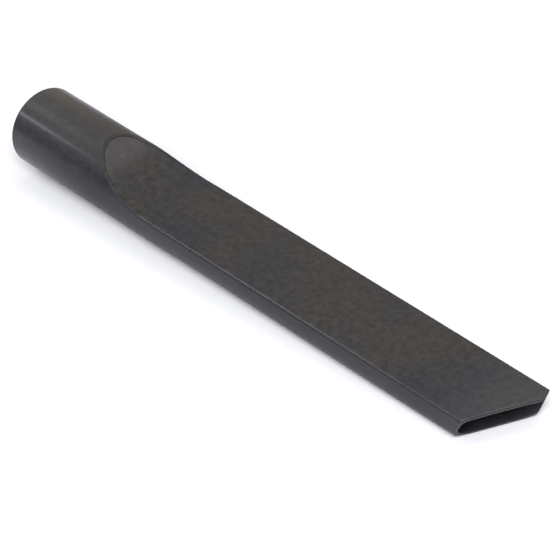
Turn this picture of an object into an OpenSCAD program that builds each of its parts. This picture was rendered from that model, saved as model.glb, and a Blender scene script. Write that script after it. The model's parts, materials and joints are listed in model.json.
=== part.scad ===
// Crevice tool: a round socket that slides over a vacuum wand, running into a
// long flat nozzle. The body is one moulding, open along its top. The top panel
// is a second moulding that scoops down from the round socket and closes it.
// X runs from the socket mouth to the nozzle tip, Z points up out of the panel.
// The origin is the centre of the socket mouth. Millimetres.

/* [Socket] */
// Inside diameter of the socket, which takes the wand
socket_bore = 32; // [30:0.5:35]
// How far the wand slides in before it meets the shoulder
socket_depth = 42; // [30:1:44]
// Height of the shoulder that stops the wand
shoulder = 0.7; // [0.4:0.1:1]
// Wall thickness of the body
wall = 1.5; // [1.3:0.1:2]
// Length of the plain round tube, from its mouth to where it starts to widen
tube_len = 51; // [48:1:54]

/* [Nozzle] */
// Length from the socket mouth to the middle of the tip
nozzle_end = 294; // [240:1:340]
// Width across the flat top
nozzle_w = 36.6; // [35.5:0.1:42]
// Length over which the nozzle widens from the tube to its full width
flare_len = 52; // [44:1:60]
// Height of the nozzle's section at the tip
tip_h = 14; // [12:0.1:17]
// Squareness of the lower corners where the widening ends: 2 is an ellipse
flare_square = 2.5; // [2:0.1:3]
// Squareness of the lower corners at the tip: more is squarer
tip_square = 5; // [3.5:0.1:6]

/* [Top panel] */
// Height of the flat top above the socket's axis
top_z = 4.5; // [3:0.1:6]
// Radius of the scoop that falls from the tube to the flat top
scoop_r = 74; // [70:1:78]
// Place along X where the scoop meets the flat top
scoop_end = 93; // [91:1:95]
// Thickness of the panel's flange, which shows all round as a fine step
flange = 0.8; // [0.6:0.1:1]
// Depth of the panel's tongue, which drops between the side walls
tongue = 0.9; // [0.7:0.1:1.2]

/* [Mouth] */
// Slant of the mouth across the nozzle, seen from above
mouth_slant = 22.5; // [0:0.5:28]
// How far the mouth leans back as it goes down
mouth_rake = 32; // [10:1:36]
// Where the leading corner starts to be trimmed, measured from the axis
corner_start = 12.9; // [10:0.1:15]
// Angle of the trimmed corner, seen from above
corner_angle = 27.5; // [15:0.5:35]
// How far the trimmed corner leans back as it goes down
corner_rake = 24; // [10:1:30]

/* [Hidden] */

tube_r = socket_bore / 2 + wall;
duct_r = socket_bore / 2 - shoulder;
flare_end = tube_len + flare_len;
corner_x = nozzle_end + corner_start * tan(mouth_slant);

// The loft starts inside the plain tube, a hair clear of the tube's own round faces
loft_start = socket_depth + 3;
loft_end = nozzle_end + 14;
overlap = 1.5;
hair = 0.03;

// Fineness of the round faces, and of the loft along and around the nozzle
round_fn = 96;
scoop_fn = 180;
flare_steps = 6;
nozzle_steps = 9;
side_pts = 20;
crown_pts = 12;

// Larger than anything that is cut
far = 60;

// Height angle at which the flat top's plane meets the round tube
top_angle = asin(top_z / tube_r);
tube_half = tube_r * cos(top_angle);

function flare(x) = sin(90 * min(1, max(0, (x - tube_len) / flare_len)));
function half_top(x) = tube_half + (nozzle_w / 2 - tube_half) * flare(x);
function along(x) = max(0, (x - tube_len) / (nozzle_end - tube_len));
function depth(x) = (top_z + tube_r) * (1 - along(x)) + tip_h * along(x);
function square_at(x) =
    flare_square + (tip_square - flare_square) * pow(max(0, x - flare_end) / (nozzle_end - flare_end), 1.6);

// A point down the side and under the belly: a runs from 0 at the flat top to 90 underneath
function round_side(a, inset) =
    let (t = top_angle - a * (90 + top_angle) / 90)
    (tube_r - inset) * [cos(t), sin(t)];
function nozzle_side(x, a, inset) =
    let (p = 2 / square_at(x))
    [(half_top(x) - inset) * pow(cos(a), p), top_z - (depth(x) - inset) * pow(sin(a), p)];
function side(x, a, inset) =
    (1 - flare(x)) * round_side(a, inset) + flare(x) * nozzle_side(x, a, inset);

// A point of the crown above the flat top, which the scoop cuts away past the tube
function crown(x, a, inset) =
    (tube_r - inset) * [cos(a) * half_top(x) / tube_half, sin(a)];

function section(x, inset) = concat(
    [for (i = [0 : side_pts]) side(x, 90 * i / side_pts, inset)],
    [for (i = [side_pts - 1 : -1 : 0]) let (p = side(x, 90 * i / side_pts, inset)) [-p[0], p[1]]],
    [for (i = [1 : crown_pts - 1])
        crown(x, 180 - top_angle - i * (180 - 2 * top_angle) / crown_pts, inset)]
);

// A closed skin over a row of sections that all have the same number of points
module skin(stations, inset) {
    rings = [for (x = stations) [for (p = section(x, inset)) [x, p[0], p[1]]]];
    n = len(rings[0]);
    last = len(rings) - 1;
    points = [for (r = rings) for (p = r) p];
    sides = [for (i = [0 : last - 1]) for (j = [0 : n - 1])
        let (a = i * n + j, b = i * n + (j + 1) % n)
        each [[a, b, b + n], [a, b + n, a + n]]];
    caps = [[for (j = [n - 1 : -1 : 0]) j], [for (j = [0 : n - 1]) last * n + j]];
    polyhedron(points, concat(sides, caps), convexity = 6);
}

// The nozzle's outside, or its inside where inset is the wall
module loft(inset) {
    skin(concat(
        [loft_start],
        [for (i = [0 : flare_steps]) tube_len + flare_len * i / flare_steps],
        [for (i = [1 : nozzle_steps]) flare_end + (loft_end - flare_end) * i / nozzle_steps]
    ), inset);
}

module outside() {
    loft(hair);
}

module inside() {
    loft(wall);
}

// The round tube with its socket and, past the shoulder, the start of the duct
module socket_tube() {
    rotate([0, 90, 0])
        difference() {
            cylinder(r = tube_r, h = loft_start + overlap, $fn = round_fn);
            translate([0, 0, -1]) cylinder(r = socket_bore / 2, h = socket_depth + 1, $fn = round_fn);
            cylinder(r = duct_r, h = far, $fn = round_fn);
        }
}

// All the space above the panel's top, or above a face that lies deep under it
module above(deep) {
    translate([scoop_end, 0, top_z])
        rotate([90, 0, 0])
            linear_extrude(height = far, center = true) {
                translate([0, scoop_r]) circle(r = scoop_r + deep, $fn = scoop_fn);
                translate([0, -deep]) square([nozzle_end, far]);
            }
}

// Everything past a plane that crosses the nozzle at x, y and leans back below z
module past(x, y, z, slant, rake) {
    translate([x, y, z])
        rotate([0, rake, -slant])
            translate([0, -2 * far, -2 * far]) cube(4 * far);
}

// What the mouth cuts away: the slanted face and the trimmed corner
module beyond_mouth(z, rake, side_rake) {
    past(nozzle_end, 0, z, mouth_slant, rake);
    past(corner_x, corner_start, z, -corner_angle, side_rake);
}

module body() {
    color("#2f2d30") {
        socket_tube();
        difference() {
            outside();
            inside();
            above(flange);
            beyond_mouth(top_z - flange, mouth_rake, corner_rake);
        }
    }
}

module top_panel() {
    color("#35332f") {
        difference() {
            intersection() {
                outside();
                above(flange);
            }
            above(0);
            beyond_mouth(top_z, 0, 0);
        }
        difference() {
            intersection() {
                inside();
                above(flange + tongue);
            }
            above(flange);
            beyond_mouth(top_z - flange, mouth_rake, corner_rake);
        }
    }
}

body();
top_panel();
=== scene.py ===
"""Looks for a vacuum cleaner's crevice tool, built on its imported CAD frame.

Shapes are worked out in millimetres, in the frame's own axes: X runs from the socket's mouth to the
nozzle's tip, Y across the nozzle and Z up out of the flat top. build() turns them to metres.
"""

import json
from math import asin, atan, cos, radians, sin, sqrt, tan

import bmesh
import bpy
from mathutils import Matrix, Vector


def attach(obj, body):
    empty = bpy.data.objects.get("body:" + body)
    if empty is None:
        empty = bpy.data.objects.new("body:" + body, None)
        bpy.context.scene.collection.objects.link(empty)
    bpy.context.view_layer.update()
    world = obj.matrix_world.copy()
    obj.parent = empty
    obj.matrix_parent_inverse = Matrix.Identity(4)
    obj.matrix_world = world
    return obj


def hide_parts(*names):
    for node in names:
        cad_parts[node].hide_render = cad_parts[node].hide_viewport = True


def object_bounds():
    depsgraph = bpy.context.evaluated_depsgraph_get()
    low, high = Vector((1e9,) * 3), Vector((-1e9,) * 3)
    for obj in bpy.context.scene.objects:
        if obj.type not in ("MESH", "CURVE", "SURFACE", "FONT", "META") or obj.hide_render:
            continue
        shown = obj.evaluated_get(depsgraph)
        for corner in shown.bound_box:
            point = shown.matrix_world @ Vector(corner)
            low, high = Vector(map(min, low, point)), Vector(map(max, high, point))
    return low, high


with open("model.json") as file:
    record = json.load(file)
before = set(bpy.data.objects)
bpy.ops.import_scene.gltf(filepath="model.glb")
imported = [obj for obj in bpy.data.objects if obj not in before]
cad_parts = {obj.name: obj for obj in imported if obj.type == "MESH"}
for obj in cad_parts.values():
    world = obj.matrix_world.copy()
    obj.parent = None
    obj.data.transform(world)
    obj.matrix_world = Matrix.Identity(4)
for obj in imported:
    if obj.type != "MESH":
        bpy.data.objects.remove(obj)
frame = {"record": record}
cad_low, cad_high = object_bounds()

MM = 0.001

# ---------------------------------------------------------------- sizes, from the frame and the design

# The round socket and its wall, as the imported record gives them
SOCKET = next(m for m in frame["record"]["mounts"] if m["name"] == "socket_bore")
BORE_R = SOCKET["dims"]["r_mm"]
SOCKET_DEPTH = SOCKET["dims"]["length_mm"]
TUBE_R = cad_high.z / MM
NOZZLE_HALF = cad_high.y / MM
WALL = TUBE_R - BORE_R

# The shoulder that stops the wand
SHOULDER = 0.7
SHOULDER_END = SOCKET_DEPTH + 4.5

# The nozzle widens out of the round tube and tapers to its tip
TUBE_LEN = 51
FLARE_LEN = 52
NOZZLE_END = 294
TIP_H = 14
FLARE_SQUARE = 2.5
TIP_SQUARE = 5
SQUARE_GROWTH = 1.6

# The flat top and the scoop that falls to it
TOP_Z = 4.5
SCOOP_R = 74
SCOOP_END = 93
FLANGE = 0.8
TONGUE = 1.1

# The mouth: slanted across, leaning back below the flange, with one corner trimmed
MOUTH_SLANT = radians(22.5)
MOUTH_LEAN = tan(radians(32)) / cos(MOUTH_SLANT)
TRIM_START = 12.9
TRIM_ANGLE = radians(27.5)
TRIM_LEAN = tan(radians(24)) / cos(TRIM_ANGLE)
TRIM_BLEND = 1.2

# The groove across the mouth, between the flange and the lip: its depth, height, rise and the lip's radius
LIP_GROOVE = 0.9
LIP_TOP = 0.32
LIP_RAISE = 0.3
LIP_RAISE_FADE = 2
LIP_EDGE = 0.1

# Small radii and gaps of the two mouldings
TOP_CHAMFER = 0.42
CHAMFER_RADIUS = 0.15
FLANGE_RADIUS = 0.06
LEDGE_RADIUS = 0.9
LEDGE_GAP = 0.1
LEDGE_SKIRT = 1.2
RIM_GAP = 0.02
TONGUE_GAP = 0.06
MOUTH_RADIUS = 0.32
SOCKET_RADIUS = 0.6
INNER_FILLET = 1.8
RIM_FILLET = 0.3

# The top's bow, and the groove just inside the scoop's rim, which fades out where the rim comes down
CROWN = 0.4
CROWN_START = TUBE_LEN + 20
CROWN_FADE = 60
RIM_BAND = 0.8
RIM_GROOVE = 0.4
RIM_GROOVE_DEPTH = 0.3
GROOVE_EASE = 0.12
TOP_MARGIN = 2.2
RIM_FADE_END = SCOOP_END - 8
RIM_FADE = 14

# How far in and out of the rim a point of the edge may lie
RIM_REACH = (-6, 9)

# Where the nozzle's underside touches the ground
HEEL_X = TUBE_LEN + 18
TOE_X = NOZZLE_END - 8

# How finely the surfaces are cut up
RIM_HALF = 36
EDGE_STEPS = 72
TUBE_STEPS = 24
BELLY_HALF = 48
ARC = [i / 4 for i in range(5)]

TOP_ANGLE = asin(TOP_Z / TUBE_R)
TUBE_HALF = TUBE_R * cos(TOP_ANGLE)
FLARE_END = TUBE_LEN + FLARE_LEN
CORNER_X = NOZZLE_END + TRIM_START * tan(MOUTH_SLANT)
LEDGE_Z = TOP_Z - FLANGE
SKIN_START = 1.4
INNER_START = SHOULDER_END + 0.3
QUARTER = radians(90)


def clamp(t):
    return min(1.0, max(0.0, t))


def lerp(a, b, t):
    return a + (b - a) * t


def smooth(t):
    t = clamp(t)
    return t * t * (3 - 2 * t)


def bisect(f, low, high, steps=34):
    """Where f, which is positive at low and negative at high, crosses zero."""
    for _ in range(steps):
        middle = (low + high) / 2
        if f(middle) > 0:
            low = middle
        else:
            high = middle
    return (low + high) / 2


# ---------------------------------------------------------------- the outer shell, and any skin inside it


def flare(x):
    return sin(QUARTER * clamp((x - TUBE_LEN) / FLARE_LEN))


def half_top(x):
    return lerp(TUBE_HALF, NOZZLE_HALF, flare(x))


def depth(x):
    return lerp(TOP_Z + TUBE_R, TIP_H, max(0.0, (x - TUBE_LEN) / (NOZZLE_END - TUBE_LEN)))


def squareness(x):
    share = max(0.0, x - FLARE_END) / (NOZZLE_END - FLARE_END)
    return lerp(FLARE_SQUARE, TIP_SQUARE, share**SQUARE_GROWTH)


def side(x, a, inset):
    """(y, z) down the side and under the belly: a is 0 at the flat top and a quarter turn underneath."""
    t = TOP_ANGLE - a * (QUARTER + TOP_ANGLE) / QUARTER
    power = 2 / squareness(x)
    across = (half_top(x) - inset) * max(0.0, cos(a)) ** power
    down = (depth(x) - inset) * sin(a) ** power
    f = flare(x)
    return lerp((TUBE_R - inset) * cos(t), across, f), lerp((TUBE_R - inset) * sin(t), TOP_Z - down, f)


def shell(x, w, inset=0.0):
    """(y, z) of the shell on its +Y half. w runs from -1 underneath through 0 at the flat top to 1 above."""
    if w <= 0:
        return side(x, -w * QUARTER, inset)
    y, z = side(x, 0, inset)
    a = lerp(TOP_ANGLE, QUARTER, w)
    rise = (1 - sin(a)) / (1 - sin(TOP_ANGLE))
    top = TUBE_R - inset
    return y * cos(a) / cos(TOP_ANGLE), top + (z - top) * rise


def place_at(x, z, inset=0.0):
    """(y, w) of the shell at the height z; y goes below zero above its crown."""
    base_y, base_z = side(x, 0, inset)
    if z > base_z:
        top = TUBE_R - inset
        s = 1 - (top - z) / (top - base_z) * (1 - sin(TOP_ANGLE))
        if s >= 1:
            return 1 - s, 1.0
        y = base_y * sqrt(1 - s * s) / cos(TOP_ANGLE)
        return y, (asin(s) - TOP_ANGLE) / (QUARTER - TOP_ANGLE)
    a = bisect(lambda angle: side(x, angle, inset)[1] - z, 0, QUARTER)
    return side(x, a, inset)[0], -a / QUARTER


def top_at(x, deep=0.0):
    """Height of the panel's top, or of a face that lies deep under it."""
    if x >= SCOOP_END:
        return TOP_Z - deep
    return TOP_Z + SCOOP_R - sqrt((SCOOP_R + deep) ** 2 - (SCOOP_END - x) ** 2)


def crowned(x, y):
    """How far the panel bows up in the middle."""
    return CROWN * (1 - (y / NOZZLE_HALF) ** 2) * smooth((x - CROWN_START) / CROWN_FADE)


def mouth_x(y, z, back=0.0):
    """Where the mouth cuts a line that runs along the nozzle. back measures square to the mouth."""
    below = min(0.0, z - LEDGE_Z)
    slant = NOZZLE_END + tan(MOUTH_SLANT) * y + MOUTH_LEAN * below - back / cos(MOUTH_SLANT)
    trim = CORNER_X - tan(TRIM_ANGLE) * (y - TRIM_START) + TRIM_LEAN * below - back / cos(TRIM_ANGLE)
    h = clamp(0.5 + 0.5 * (slant - trim) / TRIM_BLEND)
    return lerp(slant, trim, h) - TRIM_BLEND * h * (1 - h)


# ---------------------------------------------------------------- the edge that the two mouldings share


def rim_columns():
    """Places round the scoop's rim: (x, y, nx, ny), with the normal pointing out, from +Y over to -Y."""
    apex = SCOOP_END - sqrt(SCOOP_R**2 - (TOP_Z + SCOOP_R - TUBE_R) ** 2)
    half = []
    for i in range(RIM_HALF + 1):
        x = lerp(apex, SCOOP_END, (1 - i / RIM_HALF) ** 2)
        half.append((x, max(0.0, place_at(x, top_at(x))[0])))
    points = half + [(x, -y) for x, y in reversed(half[:-1])]
    columns = []
    for i, (x, y) in enumerate(points):
        before = points[max(0, i - 1)]
        after = points[min(len(points) - 1, i + 1)]
        along = Vector((after[0] - before[0], after[1] - before[1])).normalized()
        out = (along.y, -along.x)
        if i in (0, len(points) - 1):
            out = (0.0, 1.0 if i == 0 else -1.0)
        columns.append((x, y, *out))
    return columns


RIM = rim_columns()
LAST = len(RIM) - 1


def on_rim(i, deep, inset=0.0, inward=0.0):
    """A point by rim column i, deep under the panel's top, on a skin inset from the shell, moved inward."""
    x, y, nx, ny = RIM[i]
    out = bisect(
        lambda s: place_at(x + s * nx, top_at(x + s * nx, deep), inset)[0] - abs(y + s * ny),
        *RIM_REACH,
    )
    x += (out - inward) * nx
    y += (out - inward) * ny
    return x, y, top_at(x, deep)


def on_edge(way, share, deep, inset=0.0, inward=0.0, back=0.0):
    """A point on a long edge, way being 1 or -1. share is 0 where the scoop ends and 1 at the mouth."""
    z = TOP_Z - deep
    y = NOZZLE_HALF - inset - inward
    for _ in range(3):
        x = lerp(SCOOP_END, mouth_x(way * y, z, back), share)
        y = place_at(x, z, inset)[0] - inward
    return x, way * y, z


def rim_share(i):
    """1 over the scoop's rim and 0 along the flat top, fading where the rim comes down."""
    return smooth((RIM_FADE_END - RIM[i][0]) / RIM_FADE)


# ---------------------------------------------------------------- meshes


class Skin:
    """Grids of points that are welded into one closed mesh."""

    def __init__(self):
        self.bm = bmesh.new()

    def grid(self, rows):
        made = [[self.bm.verts.new(p) for p in row] for row in rows]
        for low, high in zip(made, made[1:]):
            for i in range(len(low) - 1):
                self.bm.faces.new((low[i], low[i + 1], high[i + 1], high[i]))

    def face(self, points):
        self.bm.faces.new([self.bm.verts.new(p) for p in points])

    def build(self, name, lift):
        """Welds the grids, bows the mesh with lift, turns it to metres and makes it an object."""
        bm = self.bm
        bmesh.ops.remove_doubles(bm, verts=bm.verts, dist=0.0005)
        bmesh.ops.dissolve_degenerate(bm, edges=bm.edges, dist=0.0005)
        bmesh.ops.recalc_face_normals(bm, faces=bm.faces)
        for v in bm.verts:
            v.co.z += lift(v.co.x, v.co.y)
        for f in bm.faces:
            f.smooth = True
        bmesh.ops.scale(bm, vec=(MM, MM, MM), verts=bm.verts)
        mesh = bpy.data.meshes.new(name)
        bm.to_mesh(mesh)
        bm.free()
        piece = bpy.data.objects.new(name, mesh)
        bpy.context.scene.collection.objects.link(piece)
        # Weighted normals keep the flats flat and the small radii crisp
        weighted = piece.modifiers.new("weighted", "WEIGHTED_NORMAL")
        weighted.weight = 60
        return piece


def shares(n):
    """n + 1 even steps from 0 to 1."""
    return [i / n for i in range(n + 1)]


# ---------------------------------------------------------------- the top panel


def panel_loop(row):
    """The panel's closed outline for one row of its edge profile: +Y edge, rim, -Y edge, front."""
    steps = shares(EDGE_STEPS)
    outer = [on_edge(1, s, *row(0)) for s in reversed(steps[1:])]
    outer += [on_rim(i, *row(rim_share(i))[:3]) for i in range(LAST + 1)]
    outer += [on_edge(-1, s, *row(0)) for s in steps[1:]]
    return outer + front_row(outer[-1], outer[0], row(0)) + [outer[0]]


def front_row(start, end, place):
    """Points across the mouth between two corners, without the corners.

    The flange's underside is raised there, over a groove that runs between it and the lip.
    """
    deep, _, _, back = place
    points = []
    for i in range(1, LAST):
        y = lerp(start[1], end[1], i / LAST)
        z = TOP_Z - deep
        if FLANGE / 2 < deep <= FLANGE:
            z += LIP_RAISE * smooth((abs(end[1]) - abs(y)) / LIP_RAISE_FADE)
        points.append((mouth_x(y, z, back), y, z))
    return points


def across(loop, deep):
    """Fills a panel outline with lines that run from the rim to the front."""
    first = EDGE_STEPS
    rim = loop[first : first + LAST + 1]
    plus = loop[first::-1]
    minus = loop[first + LAST : first + LAST + EDGE_STEPS + 1]
    front = [plus[-1], *reversed(loop[first + LAST + EDGE_STEPS + 1 : -1]), minus[-1]]
    half = plus[0][1]

    def reach(x):
        return half * half_top(x) / half_top(SCOOP_END)

    lines = [plus]
    for start, end in list(zip(rim, front))[1:-1]:
        line = [start]
        for s in shares(EDGE_STEPS)[1:-1]:
            x = lerp(start[0], end[0], s)
            y = reach(x) * lerp(start[1] / reach(start[0]), end[1] / reach(end[0]), s)
            line.append((x, y, top_at(x, deep)))
        lines.append([*line, end])
    return [*lines, minus]


def chamfer():
    """The top edge's chamfer and the small radii at its two ends: (deep, inward), from the top down."""
    start = TOP_CHAMFER + CHAMFER_RADIUS * tan(QUARTER / 4)
    upper = []
    for t in ARC:
        angle = t * QUARTER / 2
        upper.append((CHAMFER_RADIUS * (1 - cos(angle)), start - CHAMFER_RADIUS * sin(angle)))
    return upper + [(inward, deep) for deep, inward in reversed(upper)]


def panel_rows():
    """The panel's edge, from its top face round to its ledge.

    Each row gives depth, inset, distance inward and distance back from the mouth. A groove runs just
    inside the scoop's rim, where the panel drops between the tube's edges, and fades out along the flat.
    """

    def on_top(inward, groove):
        return lambda rim: (groove * RIM_GROOVE_DEPTH * rim, 0.0, inward, inward)

    rows = [
        on_top(TOP_MARGIN, 0),
        on_top(RIM_BAND + RIM_GROOVE + GROOVE_EASE, 0),
        on_top(RIM_BAND + RIM_GROOVE, 0.4),
        on_top(RIM_BAND + RIM_GROOVE * 0.7, 1),
        on_top(RIM_BAND + RIM_GROOVE * 0.3, 1),
        on_top(RIM_BAND, 0.4),
        on_top(RIM_BAND - GROOVE_EASE, 0),
    ]
    for deep, inward in chamfer():
        rows.append(lambda rim, d=deep, n=inward: (d, 0.0, n, n))
    rows.append(lambda rim: (FLANGE - FLANGE_RADIUS, 0.0, 0.0, 0.0))
    rows.append(lambda rim: (FLANGE, 0.0, FLANGE_RADIUS, FLANGE_RADIUS))
    rows.append(lambda rim: (FLANGE, WALL + TONGUE_GAP, 0.0, LIP_GROOVE))
    return rows


def tongue_rows():
    """The tongue, inside the walls: the lip groove's side, the lip's edge, then the fillet underneath.

    Each row gives depth, inset, distance inward and distance back from the mouth. The groove shows only
    across the mouth, and its rows close up over the scoop.
    """

    def fillet_row(t):
        def place(rim):
            fillet = lerp(INNER_FILLET, RIM_FILLET, rim)
            angle = t * QUARTER
            deep = FLANGE + TONGUE + fillet * (1 - sin(angle))
            return deep, WALL + TONGUE_GAP, fillet * (1 - cos(angle)), 0.0

        return place

    def groove_row(deep, back):
        return lambda rim: (FLANGE + deep * (1 - 0.9 * rim), WALL + TONGUE_GAP, 0.0, back)

    groove = [groove_row(0, LIP_GROOVE), groove_row(LIP_TOP, LIP_GROOVE), groove_row(LIP_TOP, LIP_EDGE)]
    return [*groove, groove_row(LIP_TOP + LIP_EDGE, 0.0), *[fillet_row(t) for t in ARC]]


def top_panel():
    """The upper moulding: the flat top and its scoop, the flange round them and the tongue below."""
    skin = Skin()
    loops = [panel_loop(row) for row in panel_rows()]
    skin.grid(loops)
    skin.grid(across(loops[0], 0))
    under = [panel_loop(row) for row in tongue_rows()]
    sides = 2 * EDGE_STEPS + LAST + 1
    skin.grid([loop[:sides] for loop in under])
    skin.grid(across(under[-1], FLANGE + TONGUE))
    # The groove under the flange, then the tongue's end face, which shows as the mouth's upper lip
    lip = 3
    skin.grid([[loop[sides - 1], *loop[sides:]] for loop in (*under[: lip + 1], under[-1])])
    skin.face([loop[0] for loop in under[lip:]])
    skin.face([loop[sides - 1] for loop in under[lip:]])
    return skin.build("top_panel_moulding", crowned)


# ---------------------------------------------------------------- the body


def body_stations():
    """Rows along the nozzle past the scoop: (share, distance back from the mouth, offset into the wall)."""
    rows = [(s, MOUTH_RADIUS, 0.0) for s in shares(EDGE_STEPS)]
    for t in ARC[1:]:
        angle = t * QUARTER
        rows.append((1.0, MOUTH_RADIUS * (1 - sin(angle)), MOUTH_RADIUS * (1 - cos(angle))))
    return rows


def ledge_rows():
    """The top edge of the body's wall, from outside to inside: (deep, inset, inward, turn).

    turn is 0 on the outside, 1 on the ledge and 2 on the inside, and says which way the wall lies.
    """

    def ledge(rim):
        return lerp(FLANGE + LEDGE_GAP, FLANGE + RIM_GAP, rim)

    def rounded(t):
        def place(rim):
            radius = lerp(LEDGE_RADIUS, FLANGE_RADIUS, rim)
            angle = t * QUARTER
            return ledge(rim) + radius * (1 - sin(angle)), 0.0, radius * (1 - cos(angle))

        return place

    rows = [(lambda rim: (FLANGE + LEDGE_GAP + LEDGE_SKIRT, 0.0, 0.0), 0.0)]
    rows += [(rounded(t), t) for t in ARC]
    rows.append((lambda rim: (ledge(rim), 0.0, LEDGE_RADIUS), 1.0))
    rows.append((lambda rim: (ledge(rim), WALL, 0.0), 2.0))
    return rows


def ledge_point(row, column):
    """A point of the ledge. A column is ("rim", i) or ("edge", way, station)."""
    place, turn = row
    if column[0] == "rim":
        return on_rim(column[1], *place(rim_share(column[1])))
    _, way, (share, back, offset) = column
    deep, inset, inward = place(0)
    if turn <= 1:
        inset += offset * cos(turn * QUARTER)
        deep += offset * sin(turn * QUARTER)
    else:
        inset -= offset
        deep += offset
    return on_edge(way, share, deep, inset, inward, back)


def body_column_angles(start, end):
    """Places round the belly from one edge to the other, closer at the corners: [(way, w), ...]."""
    half = []
    for i in range(BELLY_HALF + 1):
        half.append(atan(tan(QUARTER * min(i / BELLY_HALF, 0.9999)) ** 2) / QUARTER)
    half[-1] = 1.0
    plus = [(1, lerp(start, -1, t)) for t in half]
    minus = [(-1, lerp(end, -1, t)) for t in reversed(half[:-1])]
    return plus + minus


def nozzle_rows(row, inset_from, sign):
    """The nozzle's side walls and belly past the scoop, on the outer or the inner skin."""
    rows = []
    for station in body_stations():
        share, back, offset = station
        inset = inset_from + sign * offset
        ends = [ledge_point(row, ("edge", way, station)) for way in (1, -1)]
        w = [place_at(p[0], p[2], inset)[1] for p in ends]
        line = [ends[0]]
        for way, at in body_column_angles(*w)[1:-1]:
            x = lerp(SCOOP_END, NOZZLE_END, share)
            for _ in range(4):
                y, z = shell(x, at, inset)
                x = lerp(SCOOP_END, mouth_x(way * y, z, back), share)
            line.append((x, way * y, z))
        rows.append([*line, ends[1]])
    return rows


def tube_lines(row, inset):
    """Where the lines along the tube end: [(way, w, x), ...] over the crown, and then under the belly."""
    crown = []
    for i in range(LAST + 1):
        px, py, pz = ledge_point(row, ("rim", i))
        crown.append((1 if i <= RIM_HALF else -1, place_at(px, pz, inset)[1], px))
    belly = body_column_angles(crown[0][1], crown[-1][1])
    return crown, [(way, w, SCOOP_END) for way, w in belly]


def tube_rows(lines, begin, start, inset, last):
    """Rows along the tube. They leave begin at the outer skin's own angles and end in the row last."""
    rows = []
    for s in shares(TUBE_STEPS)[:-1]:
        line = []
        for (way, w, end), (_, w_start, _) in zip(lines, start):
            x = lerp(begin, end, s)
            y, z = shell(x, lerp(w_start, w, s), inset)
            line.append((x, way * y, z))
        rows.append(line)
    return [*rows, last]


def socket_profile():
    """The tube's end, bore and shoulder: (x, radius), from the outer skin round to the inner one."""
    points = [(SKIN_START, TUBE_R)]
    for t in ARC:
        angle = t * QUARTER
        points.append((SOCKET_RADIUS * (1 - sin(angle)), TUBE_R - SOCKET_RADIUS * (1 - cos(angle))))
    for t in ARC:
        angle = t * QUARTER
        points.append((SOCKET_RADIUS * (1 - cos(angle)), BORE_R + SOCKET_RADIUS * (1 - sin(angle))))
    stop = BORE_R - SHOULDER
    points += [(x, BORE_R) for x in (2, 20, SOCKET_DEPTH - 0.3, SOCKET_DEPTH)]
    points += [(SOCKET_DEPTH, stop + 0.15), (SOCKET_DEPTH + 0.15, stop), (SOCKET_DEPTH + 0.4, stop)]
    points += [(SHOULDER_END - 0.4, stop), (SHOULDER_END, stop + 0.3), (SHOULDER_END, BORE_R)]
    return [*points, (INNER_START, BORE_R)]


def body():
    """The lower moulding: the socket and tube, and the nozzle's side walls and underside."""
    skin = Skin()
    ledge = ledge_rows()

    # The wall's top edge, along both sides and over the scoop's rim
    stations = body_stations()
    columns = [("edge", 1, s) for s in reversed(stations[1:])]
    columns += [("rim", i) for i in range(LAST + 1)]
    columns += [("edge", -1, s) for s in stations[1:]]
    edge = [[ledge_point(row, column) for column in columns] for row in ledge]
    skin.grid(edge)

    # The outer and inner skins, each over the crown, under the belly and along the nozzle
    rim = slice(len(stations) - 1, len(stations) + LAST)
    outer_crown, outer_belly = tube_lines(ledge[0], 0.0)
    inner_crown, inner_belly = tube_lines(ledge[-1], WALL)
    outer = nozzle_rows(ledge[0], 0.0, 1)
    inner = nozzle_rows(ledge[-1], WALL, -1)
    skin.grid(tube_rows(outer_crown, SKIN_START, outer_crown, 0.0, edge[0][rim]))
    skin.grid(tube_rows(outer_belly, SKIN_START, outer_belly, 0.0, outer[0]))
    skin.grid(outer)
    skin.grid(tube_rows(inner_crown, INNER_START, outer_crown, WALL, edge[-1][rim]))
    skin.grid(tube_rows(inner_belly, INNER_START, outer_belly, WALL, inner[0]))
    skin.grid(inner)

    # The mouth's end face
    skin.grid([outer[-1], inner[-1]])
    skin.face([row[0] for row in edge])
    skin.face([row[-1] for row in edge])

    # The socket, turned about X on the same lines as the tube
    ring = [*outer_crown, *reversed(outer_belly[1:-1]), outer_crown[0]]
    turned = []
    for x, radius in socket_profile():
        line = []
        for way, w, _ in ring:
            y, z = shell(SKIN_START, w)
            line.append((x, way * y * radius / TUBE_R, z * radius / TUBE_R))
        turned.append(line)
    skin.grid(turned)
    return skin.build("body_moulding", lambda x, y: 0.0)


# ---------------------------------------------------------------- materials


def colour(code):
    """An sRGB hex colour as linear RGBA."""
    parts = [int(code[i : i + 2], 16) / 255 for i in (1, 3, 5)]
    return (*[c / 12.92 if c <= 0.04045 else ((c + 0.055) / 1.055) ** 2.4 for c in parts], 1.0)


def add(tree, kind, settings=None, inputs=None, links=None):
    """Adds a node with its settings, its inputs' values and the sockets that feed it."""
    node = tree.nodes.new("ShaderNode" + kind)
    for key, value in (settings or {}).items():
        setattr(node, key, value)
    for key, value in (inputs or {}).items():
        node.inputs[key].default_value = value
    for key, source in (links or {}).items():
        tree.links.new(source, node.inputs[key])
    return node


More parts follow.
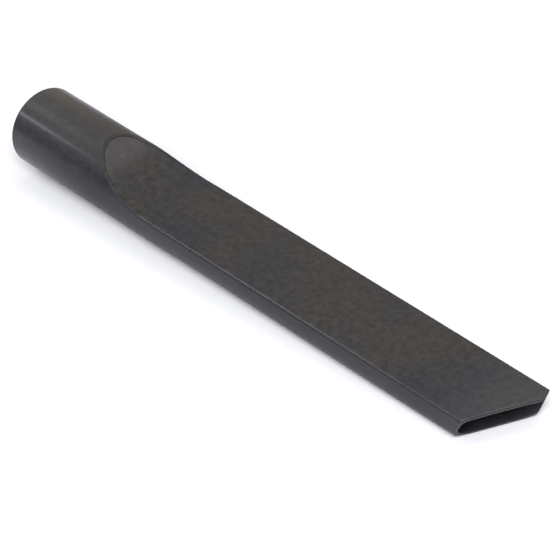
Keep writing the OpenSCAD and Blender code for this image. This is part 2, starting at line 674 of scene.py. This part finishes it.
def moulded_polypropylene(name, tones, polished, worn, dusty, scuffed, seed):
    """Black polypropylene, injection moulded against a spark-eroded tool.

    The fine grain spreads the studio's light into a soft satin sheen, flow and handling leave broad
    patches that are a little cooler or warmer, and use leaves hairline scratches and small pale specks.
    tones run from cool to warm. polished gives how glossy it is at the socket's end and along the nozzle.
    worn is the strength of the scratches, dusty that of the painted warm highlight along the top of
    the tube, and scuffed that of the paler tip. seed shifts the pattern, so that the two mouldings differ.
    """
    material = bpy.data.materials.new(name)
    material.use_nodes = True
    tree = material.node_tree
    tree.nodes.clear()
    place = add(tree, "TexCoord")
    shifted = add(tree, "Mapping", inputs={"Location": (seed, seed * 0.7, seed * 1.3)},
                  links={"Vector": place.outputs["Object"]})
    where = shifted.outputs["Vector"]

    # Broad patches, about 35 mm across, from cool to warm
    patches = add(tree, "TexNoise", inputs={"Scale": 1 / (35 * MM), "Detail": 2.0, "Roughness": 0.45},
                  links={"Vector": where})
    tone = add(tree, "ValToRGB", links={"Fac": patches.outputs["Fac"]})
    ramp = tone.color_ramp
    ramp.elements.new(0.5)
    for element, position, code in zip(ramp.elements, (0.36, 0.5, 0.64), tones):
        element.position = position
        element.color = colour(code)

    # A finer mottle, up to 3 mm across, where the grain took the light unevenly
    mottle = add(tree, "TexNoise", inputs={"Scale": 1 / (3 * MM), "Detail": 3.0, "Roughness": 0.65},
                 links={"Vector": where})
    shade = add(tree, "MapRange", inputs={"From Min": 0.3, "From Max": 0.7, "To Min": 0.7, "To Max": 1.3},
                links={"Value": mottle.outputs["Fac"]})
    mottled = add(tree, "VectorMath", {"operation": "SCALE"},
                  links={0: tone.outputs["Color"], "Scale": shade.outputs["Result"]})

    # Spark-eroded grain: really 0.1 mm, drawn at 0.4 mm so that it shows
    grain = add(tree, "TexNoise", inputs={"Scale": 1 / (0.4 * MM), "Detail": 2.0, "Roughness": 0.6},
                links={"Vector": where})

    # Hairline scratches, 0.2 mm wide and about 10 mm long, running two ways and mostly faded out
    lines = []
    for turn, aside in ((28, 0.0), (-51, 0.4)):
        stretch = {"Location": (aside, 0, 0), "Rotation": (0, 0, radians(turn)), "Scale": (1, 22, 1)}
        along = add(tree, "Mapping", inputs=stretch, links={"Vector": where})
        streaks = add(tree, "TexNoise", inputs={"Scale": 1 / (11 * MM), "Detail": 1.0},
                      links={"Vector": along.outputs["Vector"]})
        thin = add(tree, "MapRange", inputs={"From Min": 0.74, "From Max": 0.84},
                   links={"Value": streaks.outputs["Fac"]})
        lines.append(thin.outputs["Result"])
    crossed = add(tree, "Math", {"operation": "MAXIMUM"}, links={0: lines[0], 1: lines[1]})
    scratch = add(tree, "Math", {"operation": "MULTIPLY"}, {1: worn}, {0: crossed.outputs["Value"]})

    # Pale specks of dust, 0.3 mm with soft edges, a few centimetres apart
    dots = add(tree, "TexVoronoi", {"feature": "F1"}, {"Scale": 1 / (8 * MM)}, {"Vector": where})
    speck = add(tree, "MapRange", inputs={"From Min": 0.02, "From Max": 0.06, "To Min": 1.0, "To Max": 0.0},
                links={"Value": dots.outputs["Distance"]})
    chosen = add(tree, "SeparateColor", links={"Color": dots.outputs["Color"]})
    few = add(tree, "Math", {"operation": "GREATER_THAN"}, {1: 0.5}, {0: chosen.outputs["Red"]})
    fleck = add(tree, "Math", {"operation": "MULTIPLY"},
                links={0: speck.outputs["Result"], 1: few.outputs["Value"]})
    marks = add(tree, "Math", {"operation": "MAXIMUM"},
                links={0: scratch.outputs["Value"], 1: fleck.outputs["Value"]})
    faint = add(tree, "Math", {"operation": "MULTIPLY"}, {1: 0.16}, {0: marks.outputs["Value"]})
    coloured = add(tree, "Mix", {"data_type": "RGBA"}, {7: colour("#8a8784")},
                   {0: faint.outputs["Value"], 6: mottled.outputs["Vector"]})

    # Painted light: a paler, warmer painted highlight along the top of the tube, growing with height
    parts = add(tree, "SeparateXYZ", links={"Vector": place.outputs["Object"]})
    top_sheen_share = add(tree, "MapRange", inputs={"From Min": 10 * MM, "From Max": 17.4 * MM, "To Max": dusty},
               links={"Value": parts.outputs["Z"]})
    top_sheened = add(tree, "Mix", {"data_type": "RGBA"}, {7: colour("#54534a")},
                 {0: top_sheen_share.outputs["Result"], 6: coloured.outputs[2]})

    # The tip is scuffed paler where it is pushed into corners
    tip = add(tree, "MapRange", {"interpolation_type": "SMOOTHSTEP"},
              {"From Min": 255 * MM, "From Max": 298 * MM, "To Max": scuffed},
              {"Value": parts.outputs["X"]})
    finished = add(tree, "Mix", {"data_type": "RGBA"}, {7: colour("#55555a")},
                   {0: tip.outputs["Result"], 6: top_sheened.outputs[2]})

    # Hands and the wand have rubbed the socket's end smoother than the rest
    polish = add(tree, "MapRange", {"interpolation_type": "SMOOTHSTEP"},
                 {"From Min": 0.0, "From Max": 60 * MM, "To Min": polished[0], "To Max": polished[1]},
                 {"Value": parts.outputs["X"]})
    rough = add(tree, "MapRange", inputs={"From Min": 0.3, "From Max": 0.7, "To Min": 0.36, "To Max": 0.5},
                links={"Value": mottle.outputs["Fac"]})
    relief = add(tree, "Bump", inputs={"Strength": 0.25, "Distance": 0.03 * MM},
                 links={"Height": grain.outputs["Fac"]})
    scored = add(tree, "Bump", {"invert": True}, {"Strength": 0.5, "Distance": 0.05 * MM},
                 {"Height": scratch.outputs["Value"], "Normal": relief.outputs["Normal"]})
    shader = add(tree, "BsdfPrincipled",
                 inputs={"IOR": 1.49, "Specular IOR Level": 0.15, "Coat Roughness": 0.17},
                 links={"Base Color": finished.outputs[2], "Roughness": rough.outputs["Result"],
                        "Coat Weight": polish.outputs["Result"], "Normal": scored.outputs["Normal"],
                        "Coat Normal": relief.outputs["Normal"]})
    add(tree, "OutputMaterial", links={"Surface": shader.outputs["BSDF"]})
    return material


def studio_paper():
    """Matt white backdrop paper: an even pale ground with the faintest mottle."""
    material = bpy.data.materials.new("studio_paper")
    material.use_nodes = True
    tree = material.node_tree
    tree.nodes.clear()
    place = add(tree, "TexCoord")
    mottle = add(tree, "TexNoise", inputs={"Scale": 1 / (3 * MM), "Detail": 3.0},
                 links={"Vector": place.outputs["Object"]})
    tone = add(tree, "ValToRGB", links={"Fac": mottle.outputs["Fac"]})
    tone.color_ramp.elements[0].color = colour("#cfd0d4")
    tone.color_ramp.elements[1].color = colour("#d5d6da")
    shader = add(tree, "BsdfPrincipled", inputs={"Roughness": 0.9, "Specular IOR Level": 0.2},
                 links={"Base Color": tone.outputs["Color"]})
    add(tree, "OutputMaterial", links={"Surface": shader.outputs["BSDF"]})
    return material


# ---------------------------------------------------------------- the pieces

body_piece = body()
panel_piece = top_panel()
body_piece.data.materials.append(
    moulded_polypropylene(
        "body_polypropylene",
        tones=("#212127", "#232227", "#262528"),
        polished=(0.36, 0.02),
        worn=0.3,
        # Strength of the painted warm highlight along the top of the tube
        dusty=0.2,
        scuffed=0.1,
        seed=0.0,
    )
)
panel_piece.data.materials.append(
    moulded_polypropylene(
        "panel_polypropylene",
        tones=("#232329", "#262628", "#2a2827"),
        polished=(0.4, 0.24),
        worn=1.0,
        dusty=0.0,
        scuffed=0.12,
        seed=0.31,
    )
)
for piece, node in ((body_piece, "body"), (panel_piece, "top_panel")):
    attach(piece, "root")
    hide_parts(node)

# ---------------------------------------------------------------- the ground, lights and camera


def ground():
    """A wide flat sheet of paper that the nozzle's underside rests on, from its heel to its toe."""
    heel, toe = (Vector((x, 0, shell(x, -1)[1])) * MM for x in (HEEL_X, TOE_X))
    slope = (toe - heel).normalized()
    clearance = Vector((0, 0, 0.05 * MM))
    bm = bmesh.new()
    bmesh.ops.create_grid(bm, x_segments=8, y_segments=8, size=4.0)
    mesh = bpy.data.meshes.new("ground")
    bm.to_mesh(mesh)
    bm.free()
    sheet = bpy.data.objects.new("ground", mesh)
    tilt = slope.to_track_quat("X", "Z").to_matrix().to_4x4()
    sheet.matrix_world = Matrix.Translation(heel - clearance) @ tilt
    bpy.context.scene.collection.objects.link(sheet)
    mesh.materials.append(studio_paper())


def softbox(name, place, target, size, power, tint="#ffffff"):
    """A rectangular studio softbox that faces its target. Places and sizes are in metres, power in watts."""
    light = bpy.data.lights.new(name, "AREA")
    light.shape = "RECTANGLE"
    light.size, light.size_y = size
    light.energy = power
    light.color = colour(tint)[:3]
    lamp = bpy.data.objects.new(name, light)
    lamp.location = place
    lamp.rotation_mode = "QUATERNION"
    lamp.rotation_quaternion = (Vector(target) - Vector(place)).to_track_quat("-Z", "Y")
    bpy.context.scene.collection.objects.link(lamp)


def camera():
    """A long lens from in front of the mouth, above and to its near side, held a little askew."""
    stand = Vector((1139.9, -729.1, 871.0)) * MM
    aim = Vector((157.36, 0, -3.96)) * MM
    roll = radians(-5.96)
    data = bpy.data.cameras.new("camera")
    data.sensor_width = 36
    data.lens = 240
    data.clip_start = 0.05
    data.clip_end = 50
    cam = bpy.data.objects.new("camera", data)
    facing = (aim - stand).to_track_quat("-Z", "Y").to_matrix().to_4x4()
    cam.matrix_world = Matrix.Translation(stand) @ facing @ Matrix.Rotation(roll, 4, "Z")
    bpy.context.scene.collection.objects.link(cam)
    bpy.context.scene.camera = cam


def surroundings():
    """A room that is dim near the horizon and brighter overhead, so that edges and curves stand out."""
    world = bpy.data.worlds.new("room")
    bpy.context.scene.world = world
    world.use_nodes = True
    tree = world.node_tree
    tree.nodes.clear()
    way = add(tree, "TexCoord")
    parts = add(tree, "SeparateXYZ", links={"Vector": way.outputs["Generated"]})
    height = add(tree, "MapRange", inputs={"From Min": -0.05, "From Max": 0.75},
                 links={"Value": parts.outputs["Z"]})
    sky = add(tree, "ValToRGB", links={"Fac": height.outputs["Result"]})
    sky.color_ramp.elements[0].color = colour("#66676e")
    sky.color_ramp.elements[1].color = colour("#c4c2c0")
    shade = add(tree, "Background", inputs={"Strength": 1.0}, links={"Color": sky.outputs["Color"]})
    add(tree, "OutputWorld", links={"Surface": shade.outputs["Background"]})


ground()
surroundings()
camera()
softbox("key", (1.05, -0.75, 1.1), (0.15, 0, 0), (0.8, 0.8), 44)
softbox("overhead", (0.3, 0.3, 1.2), (0.15, 0, 0), (0.8, 0.8), 5)
softbox("far_side", (-0.85, 0.8, 0.34), (0.02, 0, 0), (1.0, 0.6), 1.0, "#ffd9ae")
softbox("back_strip", (-1.25, -0.05, 0.62), (0.06, 0, 0), (0.5, 0.16), 1.7, "#eef1ff")
softbox("left_strip", (-0.66, -0.68, 0.54), (0.08, 0, 0), (0.6, 0.07), 1.5, "#eef1ff")
softbox("left_high", (-0.8, -0.13, 0.8), (0.03, 0, 0), (0.3, 0.2), 0.25, "#eef1ff")
bpy.context.scene.view_settings.view_transform = "Standard"
